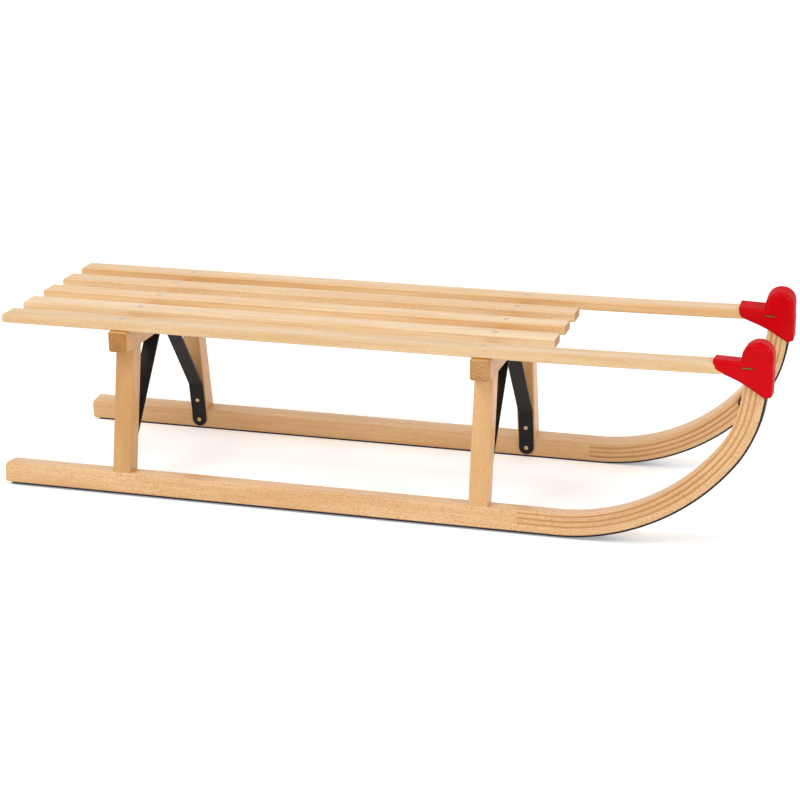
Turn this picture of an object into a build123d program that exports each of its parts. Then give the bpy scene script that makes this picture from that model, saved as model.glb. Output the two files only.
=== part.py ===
from build123d import *
from collections import namedtuple
from math import atan, cos, degrees, radians, sin, sqrt, tan
import os

os.makedirs("parts", exist_ok=True)

# Two-trestle wooden sled with five slats, bent runners and red end caps.
# Millimetres. X runs forward, Y to the sled's left, Z up from the floor.
# The origin is on the floor under the middle of the sled.

# Slats
seat_height = 255.4  # top of the slats
slat_width = 34.8
slat_thickness = 13.5
slat_pitch = 68.5
slat_rear_x = -544.4
inner_slat_front_x = 248.0
outer_slat_rise = 4.0  # how far the outer slats are sprung up at their front ends
slat_edge_round = 3.0
slat_end_chamfer = 1.5

# Trestles: one crossbeam on two splayed legs
rear_trestle_x = -366.5
front_trestle_x = 160.5
beam_width = 29.0
beam_height = 31.3
beam_overhang = 24.9  # past the heads of the legs
beam_edge_chamfer = 1.5
beam_end_top_round = 4.0
beam_end_bottom_round = 9.0
leg_width = 27.0  # along X
leg_thickness = 28.0  # along Y
leg_splay = 10.7  # degrees from upright
leg_edge_round = 1.8
tenon_shoulder = 5.0
tenon_length = 17.0
tenon_clearance = 0.1

# Runners: planks on edge that lean in by the cant and sweep up at the toe
runner_cant = 5.0  # degrees
runner_width = 29.5
runner_height = 30.0
runner_rear_x = -550.0
runner_edge_chamfer = 2.0
runner_end_round = 5.0
bend_angle = 53.0
toe_radius = 180.0
toe_angle = 29.0
toe_straight = 34.5

# Saw kerfs that let the front of each runner bend, filled with glued veneers
right_kerf_lead = 52.0  # how far behind the bend the kerfs of a runner start
left_kerf_lead = 12.0
right_kerf_depth = 4.0  # first kerf below the upper face
left_kerf_depth = 7.2
kerf_pitch = 7.3
kerf_count = 3
kerf_width = 2.4
kerf_groove = 0.8  # how deep the open line is on each side face

# Steel strip on the sole of each runner
strip_thickness = 2.5
strip_width = 26.0
strip_rear_x = -540.0
strip_toe_overlap = 18.0  # how much of the straight toe the strip covers

# Braces: one flat bar per trestle, bent to an upside-down V with a flat crown
brace_width = 22.0
brace_thickness = 3.0
brace_foot = 6.0  # end of the bar above the sole
brace_leg_contact = 46.0  # length that lies on the leg above the runner
brace_crown_half = 28.0
brace_bend_round = 9.0
brace_tip_round = 10.5

# Toe caps
cap_width = 38.6
cap_rear_x = 471.8
cap_front_x = 550.0
cap_rear_wall = 5.8  # above the slat, at the sleeve's rear end
cap_top_wall = 3.2  # above the slat, where the sleeve meets the dome
cap_toe_wall = 3.6  # in front of the runner's toe
cap_middle_wall = 6.0  # between the toe's end and the slat
cap_slat_wall = 22.0  # in front of the slat's end
cap_rear_drop = 8.8  # the sleeve's lower rear corner, below the top of the slat
cap_chin_drop = 43.6
cap_chin_inset = 8.7
cap_front_drop = 40.4
cap_lower_radius = 230.0
cap_dome_radius = 20.8
cap_dome_rise = 27.6  # above the sleeve
cap_heel_round = 11.0
cap_lip_round = 1.5
cap_edge_round = 4.5
cap_clearance = 0.15
cap_meeting_height = 228.0  # where runner and outer slat share a centre plane

# Pull bar: one flat bar, bent to a bow that stands between the runners
bar_width = 10.0
bar_thickness = 4.0
bar_foot_angle = 48.4  # degrees round the runner's first bend
bar_foot_height = 18.4  # above the sole
bar_slope = 63.0  # degrees from level
bar_leg_length = 80.0
bar_bend_round = 14.0
bar_seat_gap = 0.3
bar_tip_round = 4.8

Side = namedtuple("Side", "name sign kerf_lead kerf_depth")
SIDES = (
    Side("right", -1, right_kerf_lead, right_kerf_depth),
    Side("left", 1, left_kerf_lead, left_kerf_depth),
)
TRESTLES = (("rear", rear_trestle_x), ("front", front_trestle_x))

# Sizes that follow from the values above
slat_bottom = seat_height - slat_thickness
beam_bottom = slat_bottom - beam_height
outer_slat_y = 2 * slat_pitch
cant_sin = sin(radians(runner_cant))
cant_cos = cos(radians(runner_cant))
splay_tan = tan(radians(leg_splay))
sole_to_top = strip_thickness + runner_height
strip_inset = (runner_width - strip_width) / 2
# The lowest edge of the strip touches the floor here
contact_y = outer_slat_y + cap_meeting_height * cant_sin - strip_width / 2 * cant_cos
leg_foot_y = contact_y - strip_inset * cant_cos - sole_to_top * cant_sin
leg_foot_z = sole_to_top * cant_cos - strip_inset * cant_sin
leg_slant = leg_thickness / cos(radians(leg_splay - runner_cant))
leg_outer_y = leg_foot_y + leg_slant * cant_cos
leg_outer_z = leg_foot_z + leg_slant * cant_sin
beam_length = 2 * (leg_outer_y - (beam_bottom - leg_outer_z) * splay_tan + beam_overhang)

# The toe ends under the slat and behind the front of the cap, and the first
# bend has the radius that takes the runner there
toe_slope = radians(bend_angle + toe_angle)
toe_end_x = cap_front_x - cap_toe_wall
toe_end_up = (slat_bottom + outer_slat_rise - cap_middle_wall) / cant_cos - sole_to_top * cos(toe_slope)
bend_cos = cos(radians(bend_angle))
toe_rise = toe_radius * (bend_cos - cos(toe_slope)) + toe_straight * sin(toe_slope)
bend_radius = (toe_end_up - toe_rise) / (1 - bend_cos)
bend_sin = sin(radians(bend_angle))
toe_run = toe_radius * (sin(toe_slope) - bend_sin) + toe_straight * cos(toe_slope)
bend_start_x = toe_end_x - toe_run - bend_radius * bend_sin


def runner_plane(side, outward=0.0):
    """Plane of a runner: its x runs forward and its y up the leaning side face."""
    origin = (0, side * (contact_y + outward * cant_cos), outward * cant_sin)
    return Plane(origin=origin, x_dir=(1, 0, 0), z_dir=(0, -cant_cos, -side * cant_sin))


def sole_line(height, start_x, straight):
    """The runner's sweep at a height above the sole, from start_x to the toe."""
    base = Line((start_x, height), (bend_start_x, height))
    bend = JernArc(base @ 1, base % 1, bend_radius - height, bend_angle)
    toe = JernArc(bend @ 1, bend % 1, toe_radius - height, toe_angle)
    tip = Line(toe @ 1, toe @ 1 + (toe % 1) * straight)
    return base @ 0, tip @ 1


def sweep_band(plane, low, high, start_x, straight):
    """Face between two heights above the sole, following the runner's sweep."""
    with BuildSketch(plane) as band:
        with BuildLine():
            low_start, low_end = sole_line(low, start_x, straight)
            high_start, high_end = sole_line(high, start_x, straight)
            Line(low_start, high_start)
            Line(low_end, high_end)
        make_face()
    return band.sketch


def toe_end(plane, grow):
    """The straight end of the toe, grown on every face by a clearance."""
    along = Vector(cos(toe_slope), sin(toe_slope))
    up = Vector(-along.Y, along.X)
    tip = Vector(toe_end_x, toe_end_up) + along * grow
    root = tip - along * (toe_straight + sole_to_top)
    with BuildSketch(plane) as outline:
        with BuildLine():
            low = up * -grow
            high = up * (sole_to_top + grow)
            Polyline(root + low, tip + low, tip + high, root + high, close=True)
        make_face()
    return outline.sketch


def slat_side(plane, grow):
    """Side view of an outer slat, grown on both faces by a clearance."""
    low_z = slat_bottom - grow
    high_z = seat_height + grow
    with BuildSketch(plane) as outline:
        with BuildLine():
            under = Line((slat_rear_x, low_z), (front_trestle_x, low_z))
            under_bow = JernArc(under @ 1, under % 1, spring_radius + grow, spring_angle)
            over = Line((slat_rear_x, high_z), (front_trestle_x, high_z))
            over_radius = spring_radius - slat_thickness - grow
            over_bow = JernArc(over @ 1, over % 1, over_radius, spring_angle)
            Line(under @ 0, over @ 0)
            Line(under_bow @ 1, over_bow @ 1)
        make_face()
    return outline.sketch


def bar_section(plane, start, towards, width, thickness):
    """Section of a flat bar where its middle line, drawn on a plane, starts."""
    step = towards - start
    along = plane.x_dir * step.X + plane.y_dir * step.Y
    origin = plane.from_local_coords(start)
    with BuildSketch(Plane(origin=origin, x_dir=plane.z_dir, z_dir=along)) as section:
        Rectangle(width, thickness)
    return section.sketch


def leg_outline(side, x, inset, extend):
    """Leg seen from the front: inset from its faces, extended past both ends."""
    axis = Vector(-side * splay_tan, 1)
    across = Vector(side * cant_cos, cant_sin)
    foot_inner = Vector(side * leg_foot_y, leg_foot_z)
    foot_outer = foot_inner + across * leg_slant
    head_inner = foot_inner + axis * (beam_bottom - foot_inner.Y)
    head_outer = foot_outer + axis * (beam_bottom - foot_outer.Y)
    sideways = Vector(side * inset / cos(radians(leg_splay)), 0)
    ends = axis * extend
    with BuildSketch(Plane.YZ.offset(x)) as outline:
        with BuildLine():
            Polyline(
                foot_inner + sideways - ends,
                foot_outer - sideways - ends,
                head_outer - sideways + ends,
                head_inner + sideways + ends,
                close=True,
            )
        make_face()
    return outline.sketch


def leg_tenons(side, x, grow, mode=Mode.ADD):
    """Core of a leg that ends in a tenon at both ends; grow gives the mortise."""
    start = x - leg_width / 2 + tenon_shoulder - grow
    core = leg_outline(side, start, tenon_shoulder - grow, tenon_length + grow)
    extrude(core, amount=leg_width - 2 * tenon_shoulder + 2 * grow, mode=mode)


# Runners and their steel strips
for side in SIDES:
    with BuildPart() as runner:
        plank_plane = runner_plane(side.sign, -strip_inset)
        plank = sweep_band(plank_plane, strip_thickness, sole_to_top, runner_rear_x, toe_straight)
        extrude(plank, amount=-side.sign * runner_width)
        end_edges = runner.faces().sort_by(Axis.X)[0].edges().sort_by(Axis.Z)
        fillet((end_edges[0], end_edges[-1]), runner_end_round)
        chamfer(runner.edges().filter_by(lambda e: e.length > bend_start_x), runner_edge_chamfer)
        for row in range(kerf_count):
            kerf_top = sole_to_top - side.kerf_depth - row * kerf_pitch + kerf_width / 2
            for face_at in (-strip_inset, runner_width - strip_inset - kerf_groove):
                kerf_plane = runner_plane(side.sign, face_at)
                kerf_start = bend_start_x - side.kerf_lead
                kerf = sweep_band(kerf_plane, kerf_top - kerf_width, kerf_top, kerf_start, toe_straight)
                extrude(kerf, amount=-side.sign * kerf_groove, mode=Mode.SUBTRACT)
        for _, trestle_x in TRESTLES:
            leg_tenons(side.sign, trestle_x, tenon_clearance, Mode.SUBTRACT)
    runner.part.label = "runner_" + side.name
    export_step(runner.part, "parts/runner_" + side.name + ".step")

    with BuildPart() as strip:
        sole_plane = runner_plane(side.sign)
        sole = sweep_band(sole_plane, 0, strip_thickness, strip_rear_x, strip_toe_overlap)
        extrude(sole, amount=-side.sign * strip_width)
    strip.part.label = "runner_strip_" + side.name
    export_step(strip.part, "parts/runner_strip_" + side.name + ".step")

# Trestles: crossbeam, two legs and the brace
for trestle_name, trestle_x in TRESTLES:
    with BuildPart() as beam:
        with Locations((trestle_x, 0, beam_bottom)):
            Box(beam_width, beam_length, beam_height, align=(Align.CENTER, Align.CENTER, Align.MIN))
        end_edges = beam.edges().filter_by(Axis.X)
        fillet(end_edges.group_by(Axis.Z)[0], beam_end_bottom_round)
        top_end_edges = beam.edges().filter_by(Axis.X).group_by(Axis.Z)[-1]
        fillet(top_end_edges, beam_end_top_round)
        for beam_face in beam.faces().filter_by(Axis.X):
            chamfer(beam_face.edges(), beam_edge_chamfer)
        for side in SIDES:
            leg_tenons(side.sign, trestle_x, tenon_clearance, Mode.SUBTRACT)
    beam.part.label = "crossbeam_" + trestle_name
    export_step(beam.part, "parts/crossbeam_" + trestle_name + ".step")

    for side in SIDES:
        with BuildPart() as leg:
            extrude(leg_outline(side.sign, trestle_x - leg_width / 2, 0, 0), amount=leg_width)
            leg_long_edges = leg.edges().sort_by(SortBy.LENGTH)[-4:]
            fillet(leg_long_edges, leg_edge_round)
            leg_tenons(side.sign, trestle_x, 0)
        leg.part.label = "leg_" + trestle_name + "_" + side.name
        export_step(leg.part, "parts/leg_" + trestle_name + "_" + side.name + ".step")

    # The bar's middle line, half its thickness inside the wooden faces
    half = brace_thickness / 2
    ankle = Vector(leg_foot_y, leg_foot_z)
    leg_up = Vector(-sin(radians(leg_splay)), cos(radians(leg_splay)))
    leg_in = Vector(-leg_up.Y, leg_up.X)
    runner_up = Vector(-cant_sin, cant_cos)
    runner_in = Vector(-cant_cos, -cant_sin)
    turn = radians(leg_splay - runner_cant)
    foot = ankle + runner_in * half - runner_up * (sole_to_top - brace_foot)
    knuckle = ankle + (runner_in + leg_in) * (half / (1 + cos(turn)))
    bend = ankle + leg_in * half + leg_up * brace_leg_contact
    crown = Vector(brace_crown_half, beam_bottom - half)
    one_side = [foot, knuckle, bend, crown]
    other_side = [Vector(-point.X, point.Y) for point in reversed(one_side)]
    brace_plane = Plane.YZ.offset(trestle_x)
    with BuildPart() as brace:
        with BuildLine(brace_plane):
            corners = [tuple(point) for point in one_side + other_side]
            FilletPolyline(*corners, radius=brace_bend_round)
        sweep(bar_section(brace_plane, foot, knuckle, brace_width, brace_thickness))
        across = brace.edges().filter_by(lambda e: abs(e.length - brace_thickness) < 0.01)
        fillet(across.sort_by(Axis.Z)[:4], brace_tip_round)
    brace.part.label = "brace_" + trestle_name
    export_step(brace.part, "parts/brace_" + trestle_name + ".step")

# Inner slats
for slat_name, row in (("inner_right", -1), ("middle", 0), ("inner_left", 1)):
    with BuildPart() as slat:
        with Locations((slat_rear_x, row * slat_pitch, slat_bottom)):
            length = inner_slat_front_x - slat_rear_x
            Box(length, slat_width, slat_thickness, align=(Align.MIN, Align.CENTER, Align.MIN))
        fillet(slat.edges().filter_by(Axis.X), slat_edge_round)
        for end_face in slat.faces().filter_by(Axis.X):
            chamfer(end_face.edges(), slat_end_chamfer)
    slat.part.label = "slat_" + slat_name
    export_step(slat.part, "parts/slat_" + slat_name + ".step")

# Outer slats: straight over the trestles, then sprung up a little to the caps
spring_length = cap_front_x - cap_slat_wall - front_trestle_x
spring_angle = degrees(2 * atan(outer_slat_rise / spring_length))
spring_radius = spring_length / sin(radians(spring_angle))
for side in SIDES:
    with BuildPart() as slat:
        slat_plane = Plane.XZ.offset(-side.sign * outer_slat_y - slat_width / 2)
        extrude(slat_side(slat_plane, 0), amount=slat_width)
        long_edges = slat.edges().filter_by(lambda e: e.length > spring_length / 2)
        fillet(long_edges, slat_edge_round)
        rear_face = slat.faces().sort_by(Axis.X)[0]
        chamfer(rear_face.edges(), slat_end_chamfer)
    slat.part.label = "slat_outer_" + side.name
    export_step(slat.part, "parts/slat_outer_" + side.name + ".step")

# Toe caps, with a socket for the outer slat and one for the runner's toe
cap_slat_top = seat_height + outer_slat_rise
cap_top = cap_slat_top + cap_top_wall
dome_x = cap_front_x - cap_dome_radius
dome_top = cap_top + cap_dome_rise
dome_z = dome_top - cap_dome_radius
dome_rear_x = dome_x - sqrt(cap_dome_radius**2 - (cap_top - dome_z) ** 2)
for side in SIDES:
    with BuildPart() as cap:
        with BuildSketch(Plane.XZ.offset(-side.sign * outer_slat_y - cap_width / 2)) as side_view:
            with BuildLine():
                heel = (cap_rear_x, cap_slat_top - cap_rear_drop)
                chin = (cap_front_x - cap_chin_inset, cap_slat_top - cap_chin_drop)
                Polyline(heel, (cap_rear_x, cap_slat_top + cap_rear_wall), (dome_rear_x, cap_top))
                ThreePointArc((dome_rear_x, cap_top), (dome_x, dome_top), (cap_front_x, dome_z))
                Polyline((cap_front_x, dome_z), (cap_front_x, cap_slat_top - cap_front_drop), chin)
                RadiusArc(heel, chin, cap_lower_radius)
            make_face()
            rear_corners = side_view.vertices().group_by(Axis.X)[0].sort_by(Axis.Y)
            fillet(rear_corners[-1], cap_lip_round)
            fillet(rear_corners[0], cap_heel_round)
        extrude(amount=cap_width)
        fillet(cap.faces().filter_by(Axis.Y).edges(), cap_edge_round)
        socket_plane = Plane.XZ.offset(-side.sign * outer_slat_y - slat_width / 2 - cap_clearance)
        slat_socket = slat_side(socket_plane, cap_clearance)
        extrude(slat_socket, amount=slat_width + 2 * cap_clearance, mode=Mode.SUBTRACT)
        toe_plane = runner_plane(side.sign, -strip_inset - cap_clearance)
        toe_socket = toe_end(toe_plane, cap_clearance)
        extrude(toe_socket, amount=-side.sign * (runner_width + 2 * cap_clearance), mode=Mode.SUBTRACT)
    cap.part.label = "toe_cap_" + side.name
    export_step(cap.part, "parts/toe_cap_" + side.name + ".step")

# Pull bar: a bow in a plane that leans forward, its feet on the runners' inner faces
bar_lean = radians(bar_slope)
bar_foot_x = bend_start_x + (bend_radius - bar_foot_height) * sin(radians(bar_foot_angle))
bar_foot_up = bend_radius - (bend_radius - bar_foot_height) * cos(radians(bar_foot_angle))
bar_plane = Plane(
    origin=(bar_foot_x, 0, bar_foot_up * cant_cos),
    x_dir=(0, 1, 0),
    z_dir=(sin(bar_lean), 0, -cos(bar_lean)),
)
half = bar_thickness / 2
foot_y = contact_y - strip_inset * cant_cos - bar_foot_up * cant_sin - half - bar_seat_gap
bar_in = tan(radians(runner_cant)) * sin(bar_lean)
corner_y = foot_y - bar_leg_length * bar_in
bow = [
    Vector(foot_y, 0),
    Vector(corner_y, bar_leg_length),
    Vector(-corner_y, bar_leg_length),
    Vector(-foot_y, 0),
]
with BuildPart() as pull_bar:
    with BuildLine(bar_plane):
        FilletPolyline(*[tuple(point) for point in bow], radius=bar_bend_round)
    sweep(bar_section(bar_plane, bow[0], bow[1], bar_width, bar_thickness))
    across = pull_bar.edges().filter_by(lambda e: abs(e.length - bar_thickness) < 0.01)
    fillet(across.sort_by(Axis.Z)[:4], bar_tip_round)
pull_bar.part.label = "pull_bar"
export_step(pull_bar.part, "parts/pull_bar.step")
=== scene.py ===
import math
import bmesh
import bpy
from mathutils import Matrix, Vector


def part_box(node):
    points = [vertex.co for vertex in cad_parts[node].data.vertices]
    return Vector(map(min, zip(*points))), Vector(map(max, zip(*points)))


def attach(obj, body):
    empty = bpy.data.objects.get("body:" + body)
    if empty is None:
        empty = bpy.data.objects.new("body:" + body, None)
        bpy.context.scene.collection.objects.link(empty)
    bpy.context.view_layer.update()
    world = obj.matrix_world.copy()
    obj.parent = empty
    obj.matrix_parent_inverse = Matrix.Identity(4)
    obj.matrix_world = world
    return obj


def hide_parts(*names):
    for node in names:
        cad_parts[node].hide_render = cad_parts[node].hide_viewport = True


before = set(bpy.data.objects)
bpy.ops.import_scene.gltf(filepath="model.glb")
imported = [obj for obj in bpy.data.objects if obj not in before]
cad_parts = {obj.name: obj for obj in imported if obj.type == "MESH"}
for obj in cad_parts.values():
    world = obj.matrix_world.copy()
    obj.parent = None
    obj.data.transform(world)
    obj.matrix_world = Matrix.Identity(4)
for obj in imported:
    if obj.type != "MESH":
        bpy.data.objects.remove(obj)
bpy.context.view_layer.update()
print("frame loaded:", len(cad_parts), "nodes")

mm = 0.001
speck = 1e-7  # three tolerances in metres, all far below the shortest edge made on purpose
hair = 1e-6
near = 1e-5
sides = (("right", -1), ("left", 1))

# Camera, placed as the photograph was taken
cameraView = {
    "place": (0.7920, -2.7313, 1.0455),
    "yaw": 16.117,
    "pitch": -17.995,
    "roll": -0.4066,
    "lens": 92.67,
    "sensor": 36.0,
}


def makeCamera(view):
    data = bpy.data.cameras.new("studioCamera")
    data.lens = view["lens"]
    data.sensor_width = view["sensor"]
    data.clip_start = 0.01
    camera = bpy.data.objects.new("studioCamera", data)
    bpy.context.scene.collection.objects.link(camera)
    turn = Matrix.Rotation(math.radians(view["yaw"]), 4, "Z")
    tip = Matrix.Rotation(math.radians(90 + view["pitch"]), 4, "X")
    roll = Matrix.Rotation(math.radians(view["roll"]), 4, "Z")
    camera.matrix_world = Matrix.Translation(view["place"]) @ turn @ tip @ roll
    bpy.context.scene.camera = camera


makeCamera(cameraView)
print("camera set")


# Small helpers for materials


def paint(red, green, blue):
    # a colour as it shows on a screen, 0 to 255, made linear
    steps = []
    for value in (red, green, blue):
        part = value / 255
        steps.append(part / 12.92 if part <= 0.04045 else ((part + 0.055) / 1.055) ** 2.4)
    return (*steps, 1.0)


def newMaterial(name):
    material = bpy.data.materials.new(name)
    material.use_nodes = True
    tree = material.node_tree
    return material, tree, tree.nodes["Principled BSDF"]


def addNode(tree, kind, **settings):
    node = tree.nodes.new(kind)
    for name, value in settings.items():
        setattr(node, name, value)
    return node


def drawnOut(tree, source, share):
    # the same pattern drawn out along X; the smaller the share, the longer its streaks
    node = addNode(tree, "ShaderNodeVectorMath", operation="MULTIPLY")
    tree.links.new(source, node.inputs[0])
    node.inputs[1].default_value = (share, 1, 1)
    return node.outputs["Vector"]


def noiseAt(tree, vector, scale, detail=2.0, roughness=0.5):
    node = addNode(tree, "ShaderNodeTexNoise")
    tree.links.new(vector, node.inputs["Vector"])
    node.inputs["Scale"].default_value = scale
    node.inputs["Detail"].default_value = detail
    node.inputs["Roughness"].default_value = roughness
    return node.outputs["Fac"]


def ramp(tree, source, low=0.3, high=0.7, fromValue=0.0, toValue=1.0):
    node = addNode(tree, "ShaderNodeMapRange", interpolation_type="SMOOTHSTEP")
    tree.links.new(source, node.inputs["Value"])
    node.inputs["From Min"].default_value = low
    node.inputs["From Max"].default_value = high
    node.inputs["To Min"].default_value = fromValue
    node.inputs["To Max"].default_value = toValue
    return node.outputs["Result"]


def blendColour(tree, factor, first, second):
    node = addNode(tree, "ShaderNodeMix", data_type="RGBA", blend_type="MIX")
    ends = (("Factor", factor), ("A", first), ("B", second))
    sockets = {"Factor": node.inputs[0], "A": node.inputs[6], "B": node.inputs[7]}
    for name, value in ends:
        if isinstance(value, bpy.types.NodeSocket):
            tree.links.new(value, sockets[name])
        else:
            sockets[name].default_value = value
    return node.outputs[2]


def bumpInto(tree, shader, height, strength, distance):
    node = addNode(tree, "ShaderNodeBump")
    node.inputs["Strength"].default_value = strength
    node.inputs["Distance"].default_value = distance
    tree.links.new(height, node.inputs["Height"])
    tree.links.new(node.outputs["Normal"], shader.inputs["Normal"])


# Varnished beech: faint growth rings, broad streaks, fine fibres and short ray flecks
beech = {
    "ringLine": paint(208, 156, 100),
    "fleck": paint(198, 132, 76),
    "endPale": paint(190, 126, 60),
    "endDeep": paint(168, 104, 44),
    "endLine": paint(140, 92, 52),
    "broad": (0.08, 45.0, 2.0, 0.5),  # noises: how far drawn out along the grain, scale, detail, roughness
    "streaks": (0.025, 380.0, 3.0, 0.6),
    "fibres": (0.03, 1500.0, 2.0, 0.6),
    "patches": (0.35, 120.0, 2.0, 0.5),  # flecks come in loose patches
    "ringDrawn": 0.08,
    "ringScale": 55.0,
    "ringWobble": 4.0,
    "ringDetail": (2.0, 0.6),
    "ringRange": (0.35, 1.0),  # ranges: from where to where a pattern fades in
    "ringStrength": 0.30,
    "streakRange": (0.4, 0.75),
    "streakStrength": 0.35,
    "fibreRange": (0.35, 0.75),
    "fibreStrength": 0.20,
    "fibreBump": (0.25, 0.12 * mm),
    "fleckLength": 0.32,  # a fleck is about three times as long as it is high
    "fleckScale": 560.0,
    "fleckRange": (0.15, 0.5),
    "patchRange": (0.32, 0.6),
    "patchShare": (0.25, 0.95),
    "roughness": (0.37, 0.50),
    "shine": 0.5,
    "varnish": 0.3,
    "varnishRoughness": 0.2,
    "endVarnish": 0.08,
    "endShine": 0.2,
    "endFlecks": 0.4,
    "endRings": 1.5,
}
grainTurns = {"X": (0, 0, 0), "Y": (0, 0, -math.pi / 2), "Z": (0, math.pi / 2, 0)}


def times(tree, first, second):
    node = addNode(tree, "ShaderNodeMath", operation="MULTIPLY")
    for socket, value in zip(node.inputs, (first, second)):
        if isinstance(value, bpy.types.NodeSocket):
            tree.links.new(value, socket)
        else:
            socket.default_value = value
    return node.outputs["Value"]


def grainNoise(tree, wood, kind):
    share, scale, detail, roughness = beech[kind]
    return noiseAt(tree, drawnOut(tree, wood, share), scale, detail, roughness)


def makeBeech(name, grain, seed, pale, deep, follow=False, flecks=1.0, rings=1.0, end=False):
    # follow: the pattern bends with the runner; the seed picks the piece's own part of it
    material, tree, shader = newMaterial(name)
    line = beech["endLine"] if end else beech["ringLine"]
    if follow:
        source = addNode(tree, "ShaderNodeAttribute", attribute_name="grain").outputs["Vector"]
    else:
        source = addNode(tree, "ShaderNodeTexCoord").outputs["Object"]
    place = addNode(tree, "ShaderNodeMapping")
    tree.links.new(source, place.inputs["Vector"])
    place.inputs["Rotation"].default_value = grainTurns[grain]
    heart = (seed * 0.37, 0.045 + 0.011 * (seed % 3), 0.03 + 0.017 * (seed % 4))
    place.inputs["Location"].default_value = heart
    wood = place.outputs["Vector"]
    ringWave = addNode(tree, "ShaderNodeTexWave", wave_type="RINGS", rings_direction="X", wave_profile="SAW")
    tree.links.new(drawnOut(tree, wood, beech["ringDrawn"]), ringWave.inputs["Vector"])
    ringWave.inputs["Scale"].default_value = beech["ringScale"]
    ringWave.inputs["Distortion"].default_value = beech["ringWobble"]
    detail, detailScale = beech["ringDetail"]
    ringWave.inputs["Detail"].default_value = detail
    ringWave.inputs["Detail Scale"].default_value = detailScale
    broad = grainNoise(tree, wood, "broad")
    streaks = grainNoise(tree, wood, "streaks")
    fibres = grainNoise(tree, wood, "fibres")
    ground = blendColour(tree, ramp(tree, broad), pale, deep)
    soft = ramp(tree, streaks, *beech["streakRange"], 0.0, beech["streakStrength"])
    ground = blendColour(tree, soft, ground, line)
    late = ramp(tree, ringWave.outputs["Fac"], *beech["ringRange"])
    late = times(tree, late, ramp(tree, streaks, fromValue=0.2))
    ground = blendColour(tree, times(tree, late, rings * beech["ringStrength"]), ground, line)
    cells = addNode(tree, "ShaderNodeTexVoronoi", feature="F1")
    tree.links.new(drawnOut(tree, wood, beech["fleckLength"]), cells.inputs["Vector"])
    cells.inputs["Scale"].default_value = beech["fleckScale"]
    dashes = ramp(tree, cells.outputs["Distance"], *beech["fleckRange"], 1.0, 0.0)
    patches = ramp(tree, grainNoise(tree, wood, "patches"), *beech["patchRange"], *beech["patchShare"])
    shown = times(tree, times(tree, dashes, patches), flecks)
    ground = blendColour(tree, shown, ground, beech["fleck"])
    fine = ramp(tree, fibres, *beech["fibreRange"], 0.0, beech["fibreStrength"])
    ground = blendColour(tree, fine, ground, beech["ringLine"])
    tree.links.new(ground, shader.inputs["Base Color"])
    smooth, dull = beech["roughness"]
    rough = ramp(tree, fibres, fromValue=smooth, toValue=dull)
    tree.links.new(rough, shader.inputs["Roughness"])
    shader.inputs["Coat Weight"].default_value = beech["endVarnish"] if end else beech["varnish"]
    shader.inputs["Specular IOR Level"].default_value = beech["endShine"] if end else beech["shine"]
    shader.inputs["Coat Roughness"].default_value = beech["varnishRoughness"]
    bumpInto(tree, shader, fibres, *beech["fibreBump"])
    return material


lacquer = {
    "peelScale": 900.0,
    "cloudScale": 60.0,
    "rougher": 0.12,
    "shine": 0.2,
    "bump": (0.12, 0.1 * mm),
}


def makeLacquer(name, colour, roughness, mottle):
    # black lacquer over flat steel, with a faint orange-peel surface
    material, tree, shader = newMaterial(name)
    source = addNode(tree, "ShaderNodeTexCoord").outputs["Object"]
    peel = noiseAt(tree, source, lacquer["peelScale"], 2.0)
    cloud = noiseAt(tree, source, lacquer["cloudScale"], 3.0)
    mixed = blendColour(tree, ramp(tree, cloud), colour, mottle)
    tree.links.new(mixed, shader.inputs["Base Color"])
    rough = ramp(tree, cloud, fromValue=roughness, toValue=roughness + lacquer["rougher"])
    tree.links.new(rough, shader.inputs["Roughness"])
    shader.inputs["Specular IOR Level"].default_value = lacquer["shine"]
    bumpInto(tree, shader, peel, *lacquer["bump"])
    return material


steel = {
    "rubDrawn": 0.04,
    "rubScale": 1200.0,
    "wornFrom": 0.35,
    "rougher": 0.15,
    "bump": (0.1, 0.05 * mm),
}


def makeSteel(name, colour, worn, roughness):
    # plain strip steel with rubbed lines along the run
    material, tree, shader = newMaterial(name)
    source = addNode(tree, "ShaderNodeTexCoord").outputs["Object"]
    rubbed = noiseAt(tree, drawnOut(tree, source, steel["rubDrawn"]), steel["rubScale"], 3.0)
    mixed = blendColour(tree, ramp(tree, rubbed, steel["wornFrom"]), colour, worn)
    tree.links.new(mixed, shader.inputs["Base Color"])
    rough = ramp(tree, rubbed, fromValue=roughness, toValue=roughness + steel["rougher"])
    tree.links.new(rough, shader.inputs["Roughness"])
    shader.inputs["Metallic"].default_value = 1.0
    bumpInto(tree, shader, rubbed, *steel["bump"])
    return material


red = {
    "pale": paint(206, 0, 14),
    "deep": paint(199, 0, 10),
    "cloudScale": 55.0,
    "grainScale": 1700.0,
    "roughness": (0.30, 0.38),
    "gloss": 0.16,
    "glossRoughness": 0.2,
    "bump": (0.10, 0.1 * mm),
}


def makeRedPlastic(name):
    # moulded plastic: even red, a very fine grain and slight flow clouds
    material, tree, shader = newMaterial(name)
    source = addNode(tree, "ShaderNodeTexCoord").outputs["Object"]
    cloud = noiseAt(tree, source, red["cloudScale"], 3.0)
    grain = noiseAt(tree, source, red["grainScale"], 2.0)
    mixed = blendColour(tree, ramp(tree, cloud), red["pale"], red["deep"])
    tree.links.new(mixed, shader.inputs["Base Color"])
    smooth, dull = red["roughness"]
    tree.links.new(ramp(tree, cloud, fromValue=smooth, toValue=dull), shader.inputs["Roughness"])
    shader.inputs["Specular IOR Level"].default_value = 0.0
    shader.inputs["Coat Weight"].default_value = red["gloss"]
    shader.inputs["Coat Roughness"].default_value = red["glossRoughness"]
    bumpInto(tree, shader, grain, *red["bump"])
    return material


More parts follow.
